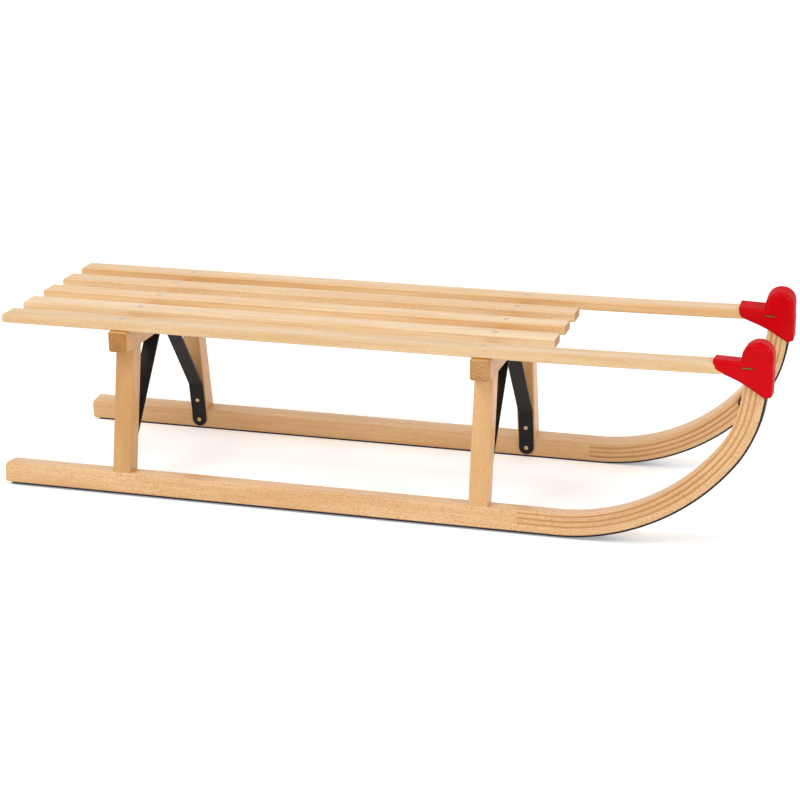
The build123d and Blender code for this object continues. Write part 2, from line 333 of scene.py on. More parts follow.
blackLacquer = makeLacquer("blackLacquer", paint(18, 15, 15), 0.38, paint(25, 22, 21))
soleSteel = makeSteel("soleSteel", paint(42, 41, 50), paint(60, 60, 70), 0.4)
zincSteel = makeSteel("zincSteel", paint(206, 212, 214), paint(168, 176, 180), 0.34)
brass = makeSteel("yellowZinc", paint(234, 208, 158), paint(206, 172, 112), 0.28)
agedBrass = makeSteel("agedBrass", paint(168, 128, 52), paint(112, 84, 34), 0.34)
# painted shade: a dark brown for the screws' cross recesses and for the patches round the staples
paintedRecessShade = makeLacquer("paintedRecessShade", paint(52, 40, 26), 0.6, paint(36, 28, 20))
# painted shadow: darker wood for a thin disc under each slat screw
screwShadowWood = makeBeech("screwShadowWood", "X", 2, paint(206, 152, 98), paint(186, 130, 80), flecks=0.3)
redPlastic = makeRedPlastic("redPlastic")
print("plain materials made")


# Small helpers for meshes


def finishMesh(name, bm, materials, sharpAngle=38.0):
    mesh = bpy.data.meshes.new(name)
    bm.to_mesh(mesh)
    bm.free()
    for face in mesh.polygons:
        face.use_smooth = True
    mesh.set_sharp_from_angle(angle=math.radians(sharpAngle))
    piece = bpy.data.objects.new(name, mesh)
    bpy.context.scene.collection.objects.link(piece)
    for material in materials:
        mesh.materials.append(material)
    evened = piece.modifiers.new("evenShading", "WEIGHTED_NORMAL")
    evened.keep_sharp = True
    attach(piece, "root")
    return piece


def roundEdges(bm, edges, width, steps, clamp=True):
    bmesh.ops.bevel(
        bm, geom=list(edges), offset=width, offset_type="OFFSET", segments=steps,
        profile=0.5, affect="EDGES", material=-1, clamp_overlap=clamp,
    )


def pick(found, kind):
    return [g for g in found if isinstance(g, kind)]


def cutAcross(bm, axis, at, reach):
    # new edges where a plane square to an axis meets the mesh
    normal = Vector((0, 0, 0))
    normal[axis] = 1
    everything = bm.verts[:] + bm.edges[:] + bm.faces[:]
    bmesh.ops.bisect_plane(bm, geom=everything, dist=reach, plane_co=normal * at, plane_no=normal)


def boxShape(low, high):
    bm = bmesh.new()
    bmesh.ops.create_cube(bm, size=1.0)
    middle = [(a + b) / 2 for a, b in zip(low, high)]
    size = [b - a for a, b in zip(low, high)]
    bmesh.ops.scale(bm, vec=size, verts=bm.verts)
    bmesh.ops.translate(bm, vec=middle, verts=bm.verts)
    return bm


def edgesAlong(bm, axis):
    found = []
    for edge in bm.edges:
        line = (edge.verts[1].co - edge.verts[0].co).normalized()
        if abs(line[axis]) > 0.999:
            found.append(edge)
    return found


def sharpEdges(bm, angle):
    return [e for e in bm.edges if len(e.link_faces) == 2 and e.calc_face_angle() > angle]


def softEnd(bm, endX, inward, reach, cuts, limits):
    # rounds a bar's end over its reach; a limit is an axis, its low and high faces and how far each comes in
    for step in range(1, cuts + 1):
        away = reach * (1 - math.cos(step / cuts * math.pi / 2))
        cutAcross(bm, 0, endX + inward * away, speck)
    for vert in bm.verts:
        away = max(0.0, (vert.co.x - endX) * inward)
        if away >= reach:
            continue
        share = math.sqrt(max(0.0, 1 - (1 - away / reach) ** 2))
        for axis, low, high, lowIn, highIn in limits:
            for face, outward, depth in ((low, -1, lowIn), (high, 1, highIn)):
                inside = face - outward * depth
                beyond = (vert.co[axis] - inside) * outward
                if beyond > 0:
                    vert.co[axis] = inside + outward * beyond * share
    bmesh.ops.remove_doubles(bm, verts=bm.verts, dist=2 * hair)


endFacing = 0.75  # end grain shows on faces that look along the grain by this share


def markEnds(bm, axis):
    for face in bm.faces:
        if abs(face.normal[axis]) > endFacing:
            face.material_index = 1


dressed = {}  # the pieces that stand for a node, by the node's name


def stand(piece, nodeName):
    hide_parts(nodeName)
    dressed[nodeName] = piece


def cadCopy(nodeName, newName, material):
    # the node's own shape with its loose triangles merged, for smooth shading
    flat = math.radians(0.5)
    bm = bmesh.new()
    bm.from_mesh(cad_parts[nodeName].data)
    bmesh.ops.remove_doubles(bm, verts=bm.verts, dist=5 * hair)
    bmesh.ops.dissolve_limit(bm, angle_limit=flat, verts=bm.verts, edges=bm.edges)
    piece = finishMesh(newName, bm, [material])
    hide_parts(nodeName)
    return piece


def woodPair(name, grain, seed, pale, deep, flecks=1.0):
    long = makeBeech(name + "Wood", grain, seed, pale, deep, flecks=flecks)
    ends = makeBeech(name + "End", grain, seed, beech["endPale"], beech["endDeep"],
                     flecks=beech["endFlecks"], rings=beech["endRings"], end=True)
    return [long, ends]


# Slats
slat = {
    "edgeRound": 2.3 * mm,
    "edgeSteps": 5,
    "rearTop": 5.0 * mm,  # how far the rear end comes in at the top, below and at the sides
    "rearLow": 2.6 * mm,
    "rearSide": 1.5 * mm,
    "rearReach": 3.6 * mm,
    "frontIn": 1.7 * mm,
    "endCuts": 7,
    "rearMore": 2.0 * mm,  # the rounded rear end stands out this much at its middle
    "bowFrom": 160.5 * mm,  # the outer slats are sprung up ahead of the front trestle
    "bowRise": 4.0 * mm,
    "bowCuts": 14,
    "seed": 3,
    "tones": {  # from the near side on: pale and deep tone and how much fleck each slat shows
        "slat_outer_right": (paint(233, 201, 155), paint(220, 179, 126), 0.35),
        "slat_inner_right": (paint(246, 217, 175), paint(237, 199, 148), 0.15),
        "slat_middle": (paint(245, 210, 162), paint(231, 186, 129), 0.15),
        "slat_inner_left": (paint(242, 208, 162), paint(230, 187, 131), 0.4),
        "slat_outer_left": (paint(241, 205, 155), paint(227, 181, 122), 0.15),
    },
}


def bowUp(x, frontX):
    run = frontX - slat["bowFrom"]
    radius = (run * run + slat["bowRise"] ** 2) / (2 * slat["bowRise"])
    ahead = max(0.0, x - slat["bowFrom"])
    return radius - math.sqrt(radius * radius - ahead * ahead)


def makeSlat(name, seed):
    low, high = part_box(name)
    outer = "outer" in name
    if outer:
        high = (high[0], high[1], high[2] - slat["bowRise"])
    low = (low[0] - slat["rearMore"], low[1], low[2])
    bm = boxShape(low, high)
    roundEdges(bm, edgesAlong(bm, 0), slat["edgeRound"], slat["edgeSteps"])
    limits = (
        (1, low[1], high[1], slat["rearSide"], slat["rearSide"]),
        (2, low[2], high[2], slat["rearLow"], slat["rearTop"]),
    )
    softEnd(bm, low[0], 1, slat["rearReach"], slat["endCuts"], limits)
    if not outer:
        limits = [(axis, low[axis], high[axis], slat["frontIn"], slat["frontIn"]) for axis in (1, 2)]
        softEnd(bm, high[0], -1, slat["frontIn"], slat["endCuts"], limits)
    markEnds(bm, 0)
    if outer:
        step = (high[0] - slat["bowFrom"]) / slat["bowCuts"]
        for cut in range(slat["bowCuts"]):
            cutAcross(bm, 0, slat["bowFrom"] + step * cut, hair)
        for vert in bm.verts:
            vert.co.z += bowUp(vert.co.x, high[0])
    pieceName = name.replace("_", "").replace("slat", "seatSlat")
    pale, deep, flecks = slat["tones"][name]
    piece = finishMesh(pieceName, bm, woodPair(pieceName, "X", seed, pale, deep, flecks))
    stand(piece, name)


for index, name in enumerate(slat["tones"]):
    makeSlat(name, slat["seed"] + 2 * index)
print("slats made")


# Trestles
trestle = {
    "beamEndLow": (5.0 * mm, 8),  # how far an edge is rounded and in how many steps
    "beamEndHigh": (4.0 * mm, 5),
    "beamEdge": (3.2 * mm, 4),
    "roundFrom": 0.9,  # radians between two faces from which their edge is rounded
    "beamFlecks": 0.4,
    "beamEndFlecks": 0.2,
    "beamEndRings": 2.0,
    "beamSeed": 4,
    "legWide": 27.0 * mm,
    "legThick": 28.0 * mm,
    "legSplay": 10.7,
    "legRound": (1.8 * mm, 4),
    "legFlecks": 0.6,
    "legSeed": 11,
    "sunk": 6.0 * mm,  # how far a leg runs into the beam and the runner
    "footMore": 8.0 * mm,  # what its slanted foot takes beyond that
    "footY": 139.35 * mm,  # inner edge of the leg's foot on the runner
    "footZ": 32.22 * mm,
    "legTones": {  # the rear right leg came from darker wood
        "leg_rear_right": (paint(209, 161, 97), paint(193, 141, 79)),
        "leg_rear_left": (paint(226, 182, 126), paint(210, 160, 102)),
        "leg_front_right": (paint(232, 188, 132), paint(220, 172, 114)),
        "leg_front_left": (paint(228, 184, 128), paint(212, 162, 104)),
    },
    "beamTones": {  # the sides' two tones, then the ends' two
        "crossbeam_rear": ((213, 158, 74), (195, 139, 60), (187, 133, 70), (168, 114, 57)),
        "crossbeam_front": ((206, 142, 48), (190, 122, 36), (203, 157, 104), (186, 137, 87)),
    },
}


def makeBeam(name, seed):
    low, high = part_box(name)
    bm = boxShape(low, high)
    middle = (low[2] + high[2]) / 2
    under = [e for e in edgesAlong(bm, 0) if e.verts[0].co.z < middle]
    roundEdges(bm, under, *trestle["beamEndLow"])
    top = [e for e in edgesAlong(bm, 0)
           if e.verts[0].co.z > high[2] - near and abs(e.verts[0].co.y) > high[1] - near]
    roundEdges(bm, top, *trestle["beamEndHigh"])
    roundEdges(bm, sharpEdges(bm, trestle["roundFrom"]), *trestle["beamEdge"])
    markEnds(bm, 1)
    pieceName = name.replace("_", "")
    pale, deep, endPale, endDeep = (paint(*tone) for tone in trestle["beamTones"][name])
    long = makeBeech(pieceName + "Wood", "Y", seed, pale, deep, flecks=trestle["beamFlecks"])
    ends = makeBeech(pieceName + "End", "Y", seed, endPale, endDeep,
                     flecks=trestle["beamEndFlecks"], rings=trestle["beamEndRings"], end=True)
    piece = finishMesh(pieceName, bm, [long, ends])
    stand(piece, name)


def makeLeg(name, side, x, beamBottom, seed):
    splay = math.radians(trestle["legSplay"])
    tall = (beamBottom - trestle["footZ"]) / math.cos(splay)
    wide = trestle["legWide"]
    low = (-wide / 2, 0, -trestle["sunk"] - trestle["footMore"])
    high = (wide / 2, trestle["legThick"], tall + trestle["sunk"])
    bm = boxShape(low, high)
    roundEdges(bm, edgesAlong(bm, 2), *trestle["legRound"])
    if side < 0:
        bmesh.ops.scale(bm, vec=(1, -1, 1), verts=bm.verts)
        bmesh.ops.reverse_faces(bm, faces=bm.faces)
    bmesh.ops.rotate(bm, cent=(0, 0, 0), matrix=Matrix.Rotation(side * splay, 3, "X"), verts=bm.verts)
    bmesh.ops.translate(bm, vec=(x, side * trestle["footY"], trestle["footZ"]), verts=bm.verts)
    pieceName = name.replace("_", "")
    pale, deep = trestle["legTones"][name]
    piece = finishMesh(pieceName, bm, woodPair(pieceName, "Z", seed, pale, deep, trestle["legFlecks"]))
    stand(piece, name)


for index, place in enumerate(("rear", "front")):
    makeBeam("crossbeam_" + place, trestle["beamSeed"] + index)
    low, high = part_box("crossbeam_" + place)
    for sideName, side in sides:
        legName = "leg_" + place + "_" + sideName
        seed = trestle["legSeed"] + 3 * index + side
        makeLeg(legName, side, (low[0] + high[0]) / 2, low[2], seed)
print("trestles made")


# Runners
runner = {
    "cant": 5.0,
    "width": 29.5 * mm,
    "contactY": 143.92 * mm,  # lowest edge of the steel strip
    "inset": 1.75 * mm,  # the strip is this much narrower on each side
    "stripThick": 2.5 * mm,
    "stripWidth": 26.0 * mm,
    "stripEndUp": 18.0 * mm,
    "high": 32.5 * mm,  # upper face above the sole
    "rearX": -550.0 * mm,
    "stripRearX": -540.0 * mm,
    "bendX": 268.72 * mm,
    "bendRadius": 298.49 * mm,
    "bendAngle": 53.0,
    "toeRadius": 180.0 * mm,
    "toeAngle": 29.0,
    "toeStraight": 34.5 * mm,
    "bendSteps": 36,
    "toeSteps": 20,
    "edgeRound": (2.6 * mm, 4),
    "roundFrom": 0.7,
    "endTop": 12.0 * mm,
    "endLow": 4.5 * mm,
    "endSide": 2.5 * mm,
    "endReach": 4.5 * mm,
    "endCuts": 8,
    "stripRound": (0.5 * mm, 2),
    "pale": paint(234, 194, 143),
    "deep": paint(221, 175, 120),
    "flecks": {"right": 1.0, "left": 0.45},
    "seed": 21,
}
kerf = {
    "lead": {"right": 52.0 * mm, "left": 12.0 * mm},
    "firstDepth": {"right": 4.0 * mm, "left": 7.2 * mm},
    "pitch": 7.3 * mm,
    "count": 3,
    "width": 3.0 * mm,
    "depth": 0.55 * mm,
    "slope": 0.7 * mm,
    # the grooves' wood is darker: in part the glue of the laminations, in part painted shade in the grooves
    "pale": paint(208, 150, 88),
    "deep": paint(184, 124, 66),
    "flecks": 0.5,
}


def runnerLine():
    # angle and radius of the bend and of the toe, and the centre of the toe's arc
    bend = math.radians(runner["bendAngle"])
    toe = math.radians(runner["toeAngle"])
    first = runner["bendRadius"]
    second = runner["toeRadius"]
    toeX = runner["bendX"] + (first - second) * math.sin(bend)
    toeZ = first - (first - second) * math.cos(bend)
    return bend, first, toe, second, toeX, toeZ


def alongRunner(x, z):
    # distance along the sole line and height above it, for a point of the side view
    bend, first, toe, second, toeX, toeZ = runnerLine()
    if x <= runner["bendX"]:
        return x, z
    angle = math.atan2(x - runner["bendX"], first - z)
    if angle <= bend:
        return runner["bendX"] + first * angle, first - math.hypot(x - runner["bendX"], first - z)
    start = runner["bendX"] + first * bend
    angle = math.atan2(x - toeX, toeZ - z)
    if angle <= bend + toe:
        return start + second * (angle - bend), second - math.hypot(x - toeX, toeZ - z)
    turn = bend + toe
    endX = toeX + second * math.sin(turn)
    endZ = toeZ - second * math.cos(turn)
    ahead = (x - endX) * math.cos(turn) + (z - endZ) * math.sin(turn)
    up = -(x - endX) * math.sin(turn) + (z - endZ) * math.cos(turn)
    return start + second * toe + ahead, up


def sweepBar(rearX, stops, inner, outer, low, high, cuts, tipLength):
    # a section's outline taken along the straight, both bends and the toe
    bm = bmesh.new()
    bmesh.ops.create_grid(bm, x_segments=1, y_segments=1, size=0.5)
    bmesh.ops.rotate(bm, cent=(0, 0, 0), matrix=Matrix.Rotation(math.pi / 2, 3, "Y"), verts=bm.verts)
    bmesh.ops.scale(bm, vec=(1, outer - inner, high - low), verts=bm.verts)
    bmesh.ops.translate(bm, vec=(rearX, (inner + outer) / 2, (low + high) / 2), verts=bm.verts)
    for height in cuts:
        cutAcross(bm, 2, height, speck)
    bmesh.ops.delete(bm, geom=bm.faces[:], context="FACES_ONLY")
    rungs = [e for e in bm.edges if abs(e.verts[0].co.y - e.verts[1].co.y) > hair
             and low + hair < e.verts[0].co.z < high - hair]
    bmesh.ops.delete(bm, geom=rungs, context="EDGES")
    ring = bm.edges[:]
    here = rearX
    for stop in stops:
        out = bmesh.ops.extrude_edge_only(bm, edges=ring)
        moved = pick(out["geom"], bmesh.types.BMVert)
        ring = pick(out["geom"], bmesh.types.BMEdge)
        bmesh.ops.translate(bm, vec=(stop - here, 0, 0), verts=moved)
        here = stop
    bend, first, toe, second, toeX, toeZ = runnerLine()
    turns = (
        ((runner["bendX"], 0, first), bend, runner["bendSteps"]),
        ((toeX, 0, toeZ), toe, runner["toeSteps"]),
    )
    for centre, angle, steps in turns:
        points = list(dict.fromkeys(v for e in ring for v in e.verts))
        out = bmesh.ops.spin(bm, geom=points + ring, cent=centre, axis=(0, -1, 0), dvec=(0, 0, 0),
                             angle=angle, steps=steps, use_merge=False, use_duplicate=False)
        ring = pick(out["geom_last"], bmesh.types.BMEdge)
    out = bmesh.ops.extrude_edge_only(bm, edges=ring)
    moved = pick(out["geom"], bmesh.types.BMVert)
    turn = bend + toe
    reach = (tipLength * math.cos(turn), 0, tipLength * math.sin(turn))
    bmesh.ops.translate(bm, vec=reach, verts=moved)
    bmesh.ops.holes_fill(bm, edges=[e for e in bm.edges if e.is_boundary], sides=0)
    bmesh.ops.recalc_face_normals(bm, faces=bm.faces)
    return bm


def standUp(bm, side):
    # from the runner's own side view to its leaning place on the floor
    cant = math.radians(runner["cant"])
    if side < 0:
        bmesh.ops.scale(bm, vec=(1, -1, 1), verts=bm.verts)
        bmesh.ops.reverse_faces(bm, faces=bm.faces)
    bmesh.ops.rotate(bm, cent=(0, 0, 0), matrix=Matrix.Rotation(side * cant, 3, "X"), verts=bm.verts)
    bmesh.ops.translate(bm, vec=(0, side * runner["contactY"], 0), verts=bm.verts)


def makeRunner(sideName, side, seed):
    low = runner["stripThick"]
    high = runner["high"]
    bands = []
    for row in range(kerf["count"]):
        middle = high - kerf["firstDepth"][sideName] - row * kerf["pitch"]
        bands.append((middle - kerf["width"] / 2, middle + kerf["width"] / 2))
    cuts = [height for band in bands for height in band]
    kerfX = runner["bendX"] - kerf["lead"][sideName]
    inner = -runner["inset"]
    outer = runner["width"] - runner["inset"]
    stops = (kerfX, runner["bendX"])
    bm = sweepBar(runner["rearX"], stops, inner, outer, low, high, cuts, runner["toeStraight"])
    corners = [e for e in sharpEdges(bm, runner["roundFrom"])
               if max(v.co.x for v in e.verts) > runner["rearX"] + hair]
    roundEdges(bm, corners, *runner["edgeRound"])
    limits = (
        (1, inner, outer, runner["endSide"], runner["endSide"]),
        (2, low, high, runner["endLow"], runner["endTop"]),
    )
    softEnd(bm, runner["rearX"], 1, runner["endReach"], runner["endCuts"], limits)
    for lowEdge, highEdge in bands:
        for face in (inner, outer):
            band = []
            for f in bm.faces:
                centre = f.calc_center_median()
                if abs(centre.y - face) > near or centre.x < kerfX:
                    continue
                if lowEdge < alongRunner(centre.x, centre.z)[1] < highEdge:
                    band.append(f)
            for f in band:
                f.material_index = 1
            bmesh.ops.inset_region(bm, faces=band, thickness=kerf["slope"], depth=-kerf["depth"],
                                   use_boundary=True, use_even_offset=True)
    for face in bm.faces:
        if face.normal.x < -endFacing and face.calc_center_median().x < runner["rearX"] + runner["endReach"]:
            face.material_index = 2
    layer = bm.verts.layers.float_vector.new("grain")
    for vert in bm.verts:
        along, up = alongRunner(vert.co.x, vert.co.z)
        vert[layer] = (along, vert.co.y, up)
    standUp(bm, side)
    name = sideName + "Runner"
    flecks = runner["flecks"][sideName]
    woods = [
        makeBeech(name + "Wood", "X", seed, runner["pale"], runner["deep"], True, flecks),
        makeBeech(name + "Kerf", "X", seed, kerf["pale"], kerf["deep"], True, kerf["flecks"]),
        makeBeech(name + "End", "X", seed, beech["endPale"], beech["endDeep"], True,
                  beech["endFlecks"], beech["endRings"], True),
    ]
    piece = finishMesh(name, bm, woods)
    stand(piece, "runner_" + sideName)


def makeStrip(sideName, side):
    bm = sweepBar(runner["stripRearX"], (runner["bendX"],), 0, runner["stripWidth"], 0,
                  runner["stripThick"], (), runner["stripEndUp"])
    roundEdges(bm, sharpEdges(bm, runner["roundFrom"]), *runner["stripRound"])
    standUp(bm, side)
    piece = finishMesh(sideName + "SoleStrip", bm, [soleSteel])
    stand(piece, "runner_strip_" + sideName)


for sideName, side in sides:
    makeRunner(sideName, side, runner["seed"] + side * 3)
    makeStrip(sideName, side)
print("runners and strips made")

# The braces and the pull bar keep the shape of their solids
for name in ("brace_rear", "brace_front", "pull_bar"):
    piece = cadCopy(name, name.replace("_", ""), blackLacquer)
print("braces and pull bar made")


# Toe caps: they lean in with the runners, so each is shaped upright and then tipped
cap = {
    "wide": 38.6 * mm,
    "lean": 5.0,
    "pivotY": 137.0 * mm,
    "pivotZ": 246.0 * mm,
    "domeX": 529.0 * mm,
    "domeZ": 268.2 * mm,
    "domeRadius": 20.9 * mm,
    "domeSteps": 26,
    "sleeveTop": 262.2 * mm,  # where the sleeve meets the dome
    "rearX": 471.0 * mm,
    "rearTop": 263.4 * mm,
    "rearLow": 249.4 * mm,
    "heelReach": (6.8 * mm, 9),  # a corner's reach or width and its steps
    "bendX": 509.5 * mm,  # the underside turns down here
    "bendZ": 234.2 * mm,
    "bendReach": (11.0 * mm, 6),
    "chinX": 541.3 * mm,
    "chinZ": 214.6 * mm,
    "frontZ": 217.5 * mm,
    "edgeRound": 6.0 * mm,
    "edgeSteps": 8,
    "lipRound": (1.6 * mm, 4),
    "lipFrom": 0.6,
    "stepZ": 249.6 * mm,  # a shallow step and groove across the front
    "stepCuts": (-0.4 * mm, 0, 0.5 * mm),
    "stepBack": 0.5 * mm,
    "grooveDeep": 1.0 * mm,
    "clearance": 0.15 * mm,
    "sharpAngle": 50.0,
}


def leanIn(side):
    # from the cap's own upright place, centred on y = 0, to its leaning one
    turn = Matrix.Rotation(math.radians(side * cap["lean"]), 4, "X")
    place = Matrix.Translation((0, side * cap["pivotY"], cap["pivotZ"]))
    return place @ turn @ Matrix.Translation((0, 0, -cap["pivotZ"]))


def capOutline():
    bm = bmesh.new()
    domeRear = cap["domeX"] - cap["domeRadius"]
    first = bm.verts.new((domeRear, 0, cap["domeZ"]))
    centre = (cap["domeX"], 0, cap["domeZ"])
    out = bmesh.ops.spin(bm, geom=[first], cent=centre, axis=(0, 1, 0), dvec=(0, 0, 0),
                         angle=math.pi, steps=cap["domeSteps"], use_merge=False, use_duplicate=False)
    last = pick(out["geom_last"], bmesh.types.BMVert)[0]
    corners = (
        (cap["domeX"] + cap["domeRadius"], cap["frontZ"]),
        (cap["chinX"], cap["chinZ"]),
        (cap["bendX"], cap["bendZ"]),
        (cap["rearX"], cap["rearLow"]),
        (cap["rearX"], cap["rearTop"]),
        (domeRear, cap["sleeveTop"]),
    )
    chain = [last] + [bm.verts.new((x, 0, z)) for x, z in corners] + [first]
    for here, there in zip(chain, chain[1:]):
        bm.edges.new((here, there))
    bend, heel = chain[3], chain[4]
    bmesh.ops.contextual_create(bm, geom=bm.edges[:])
    for corner, (reach, steps) in ((bend, cap["bendReach"]), (heel, cap["heelReach"])):
        bmesh.ops.bevel(bm, geom=[corner], offset=reach, offset_type="OFFSET", segments=steps, profile=0.5,
                        affect="VERTICES", material=-1, clamp_overlap=False)
    return bm


def stepFront(bm):
    # cuts across the front, then the rows above them set back
    for above in cap["stepCuts"]:
        cutAcross(bm, 2, cap["stepZ"] + above, hair)
    middle = cap["domeX"] + cap["domeRadius"] - cap["edgeRound"]
    for vert in bm.verts:
        ahead = (vert.co.x - middle) / cap["edgeRound"]
        if ahead <= 0 or vert.co.z < cap["stepZ"] - hair:
            continue
        back = cap["grooveDeep"] if vert.co.z < cap["stepZ"] + hair else cap["stepBack"]
        vert.co.x -= ahead * back


def cutterFrom(source, grow):
    # another piece's shape, swollen by the socket's clearance
    bm = bmesh.new()
    bm.from_mesh(source.data)
    bmesh.ops.remove_doubles(bm, verts=bm.verts, dist=speck)
    bm.normal_update()
    for vert in bm.verts:
        vert.co += vert.normal * grow
    mesh = bpy.data.meshes.new("socketCutter")
    bm.to_mesh(mesh)
    bm.free()
    cutter = bpy.data.objects.new("socketCutter", mesh)
    bpy.context.scene.collection.objects.link(cutter)
    return cutter


def makeCap(sideName, side):
    bm = capOutline()
    out = bmesh.ops.extrude_face_region(bm, geom=bm.faces[:])
    moved = pick(out["geom"], bmesh.types.BMVert)
    bmesh.ops.translate(bm, vec=(0, cap["wide"], 0), verts=moved)
    bmesh.ops.translate(bm, vec=(0, -cap["wide"] / 2, 0), verts=bm.verts)
    bmesh.ops.recalc_face_normals(bm, faces=bm.faces)
    across = cap["wide"] / 2 - hair
    rim = [e for e in bm.edges if abs(e.verts[0].co.y) > across and e.verts[0].co.y * e.verts[1].co.y > 0]
    roundEdges(bm, rim, cap["edgeRound"], cap["edgeSteps"], clamp=False)
    lips = [e for e in sharpEdges(bm, cap["lipFrom"]) if e.is_convex]
    roundEdges(bm, lips, *cap["lipRound"])
    stepFront(bm)
    bmesh.ops.transform(bm, matrix=leanIn(side), verts=bm.verts)
    solid = finishMesh(sideName + "CapBlank", bm, [redPlastic])
    solid.modifiers.clear()
    cutters = []
    for node in ("slat_outer_" + sideName, "runner_" + sideName, "runner_strip_" + sideName):
        cutter = cutterFrom(dressed[node], cap["clearance"])
        cut = solid.modifiers.new("socket", "BOOLEAN")
        cut.operation = "DIFFERENCE"
        cut.solver = "EXACT"
        cut.object = cutter
        cutters.append(cutter)
    view = bpy.context.evaluated_depsgraph_get()
    bm = bmesh.new()
    bm.from_mesh(solid.evaluated_get(view).to_mesh())
    for waste in cutters + [solid]:
        bpy.data.objects.remove(waste)
    piece = finishMesh(sideName + "ToeCap", bm, [redPlastic], cap["sharpAngle"])
    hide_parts("toe_cap_" + sideName)


for sideName, side in sides:
    makeCap(sideName, side)
print("toe caps made")


# Screws and staples
screw = {
    "slatRadius": 3.6 * mm,
    "braceRadius": 3.3 * mm,
    "headSides": 32,
    "headTaper": 0.86,
    "sharpAngle": 30.0,
    "proud": 0.5 * mm,
    "seated": 0.2 * mm,  # a slat screw sits this much lower
    "recessArm": 0.75 * mm,
    "recessReach": 0.62,
    "recessDepth": 0.45 * mm,
    "shadowRadius": 4.3 * mm,  # painted shadow round a slat screw: a thin disc of darker wood
    # the disc is set back along X, so its painted shadow shows on one side of the screw
    "shadowBack": 0.5 * mm,
    "shadowProud": 0.06 * mm,
    "shadowTaper": 0.97,
    "slatTurn": 17,  # degrees from one slat screw's cross to the next one's
    "braceTurn": 30,
    "barTurn": 20,
}


def makeScrewHead(name, radius, place, outward, material, turn):
    # a low head with a cross recess, its flat side on the surface
    bm = bmesh.new()
    bmesh.ops.create_cone(bm, cap_ends=True, cap_tris=False, segments=screw["headSides"], radius1=radius,
                          radius2=radius * screw["headTaper"], depth=screw["proud"] * 2)
    arm = screw["recessArm"]
    reach = radius * screw["recessReach"]
    for at in (-reach, -arm / 2, arm / 2, reach):
        for axis in ((1, 0, 0), (0, 1, 0)):
            top = [f for f in bm.faces if f.normal.z > 0.9]
            geom = top + list(dict.fromkeys(e for f in top for e in f.edges))
            geom += list(dict.fromkeys(v for f in top for v in f.verts))
            here = (axis[0] * at, axis[1] * at, 0)
            bmesh.ops.bisect_plane(bm, geom=geom, dist=speck, plane_co=here, plane_no=axis)
    cross = []
    for f in bm.faces:
        c = f.calc_center_median()
        inArm = abs(c.x) < arm / 2 or abs(c.y) < arm / 2
        if f.normal.z > 0.9 and inArm and max(abs(c.x), abs(c.y)) < reach:
            cross.append(f)
    out = bmesh.ops.extrude_face_region(bm, geom=cross)
    bmesh.ops.delete(bm, geom=[f for f in cross if f.is_valid], context="FACES")
    moved = pick(out["geom"], bmesh.types.BMVert)
    bmesh.ops.translate(bm, vec=(0, 0, -screw["recessDepth"]), verts=moved)
    # the recess walls and floor get the second, dark material: painted shade in the recess
    for f in pick(out["geom"], bmesh.types.BMFace):
        f.material_index = 1
    spin = Matrix.Rotation(math.radians(turn), 4, "Z")
    face = Vector(outward).to_track_quat("Z", "Y").to_matrix().to_4x4()
    bmesh.ops.transform(bm, matrix=Matrix.Translation(place) @ face @ spin, verts=bm.verts)
    return finishMesh(name, bm, [material, paintedRecessShade], screw["sharpAngle"])


def makeScrewShadow(name, x, y, top):
    # painted shadow: a thin disc of darker wood under a slat screw, a little off centre
    bm = bmesh.new()
    wide = screw["shadowRadius"]
    bmesh.ops.create_cone(bm, cap_ends=True, cap_tris=False, segments=screw["headSides"], radius1=wide,
                          radius2=wide * screw["shadowTaper"], depth=screw["shadowProud"] * 2)
    bmesh.ops.translate(bm, vec=(x - screw["shadowBack"], y, top), verts=bm.verts)
    piece = finishMesh(name, bm, [screwShadowWood])


def makeSlatScrews():
    count = 0
    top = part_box("slat_middle")[1][2]
    for place in ("rear", "front"):
        low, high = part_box("crossbeam_" + place)
        x = (low[0] + high[0]) / 2
        for name in slat["tones"]:
            slatLow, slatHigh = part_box(name)
            y = (slatLow[1] + slatHigh[1]) / 2
            piece = makeScrewHead("slatScrew%d" % count, screw["slatRadius"], (x, y, top - screw["seated"]),
                                  (0, 0, 1), zincSteel, screw["slatTurn"] * count)
            makeScrewShadow("slatScrewShadow%d" % count, x, y, top)
            count += 1


brace = {"thick": 3.0 * mm, "onLeg": 18.0 * mm, "onRunner": 16.0 * mm}


def leaning(side, angle):
    # up along a face that leans in by an angle, and out of that face towards the middle
    up = Vector((0, -side * math.sin(angle), math.cos(angle)))
    inward = Vector((0, -side * math.cos(angle), -math.sin(angle)))
    return up, inward


def makeBraceScrews():
    for place in ("rear", "front"):
        low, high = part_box("brace_" + place)
        x = (low[0] + high[0]) / 2
        for sideName, side in sides:
            ankle = Vector((x, side * trestle["footY"], trestle["footZ"]))
            legUp, legIn = leaning(side, math.radians(trestle["legSplay"]))
            runnerUp, runnerIn = leaning(side, math.radians(runner["cant"]))
            spots = (
                ("Leg", ankle + legUp * brace["onLeg"] + legIn * brace["thick"], legIn),
                ("Runner", ankle - runnerUp * brace["onRunner"] + runnerIn * brace["thick"], runnerIn),
            )
            for spot, at, outward in spots:
                name = place + sideName.capitalize() + spot + "Screw"
                piece = makeScrewHead(name, screw["braceRadius"], at, outward, brass, screw["braceTurn"])


staple = {
    "long": 14.0 * mm,
    "thick": 1.3 * mm,
    "proud": 0.3 * mm,
    "x": 516.2 * mm,
    "z": 254.4 * mm,
    # the patch of painted shade reaches this much beyond the staple all round
    "dent": 0.8 * mm,
    "shadeProud": 0.05 * mm,
    "rounding": (0.9, 4),  # share of the half height, and steps
}


